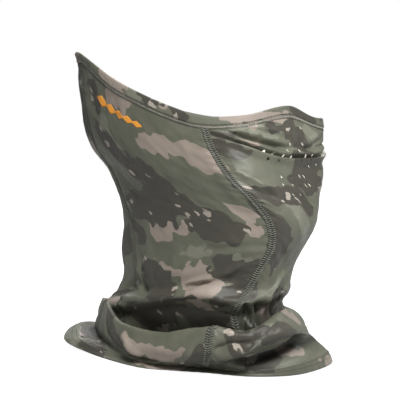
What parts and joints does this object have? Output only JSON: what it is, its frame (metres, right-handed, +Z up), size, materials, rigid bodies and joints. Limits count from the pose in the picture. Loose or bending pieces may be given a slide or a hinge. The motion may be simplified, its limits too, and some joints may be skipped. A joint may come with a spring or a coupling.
{
  "type": "neck gaiter",
  "caption": "Fitted face and neck gaiter in worn shape: jersey panels, bound top edge, lapped mouth vent, gathered cowl and turned hem.",
  "frame": {"origin": "centre of the footprint box, on the table", "axes": "+Z up; the wearer's face points to +X, turned 28 degrees towards -Y; the rear seam is towards -X"},
  "size_m": [0.2744, 0.201, 0.3082],
  "materials": {
    "jersey": "satin knit with camouflage print",
    "binding": "folded knit binding with the same print",
    "thread": "grey green flatlock and cover stitching",
    "print": "matt heat-pressed orange print"
  },
  "bodies": {
    "gaiter": {"rear_panel_right": "jersey", "rear_panel_left": "jersey", "nose_panel": "jersey", "chin_panel": "jersey", "top_band": "binding", "bottom_hem": "binding", "side_seam_right": "thread", "side_seam_left": "thread", "rear_seam": "thread", "top_band_stitching": "thread", "bottom_hem_stitching": "thread", "side_emblem": "print"},
    "lip": {"mouth_lip": "jersey"}
  },
  "joints": [
    {"name": "mouth_lip_pull", "type": "hinge", "parent": "gaiter", "child": "lip", "pos_m": [0.107, -0.04976, 0.18404], "axis": [0.7209, 0.6931, 0], "range_deg": [0, 25], "stiffness_Nm_per_rad": 0.008, "springref_deg": -5.73}
  ]
}
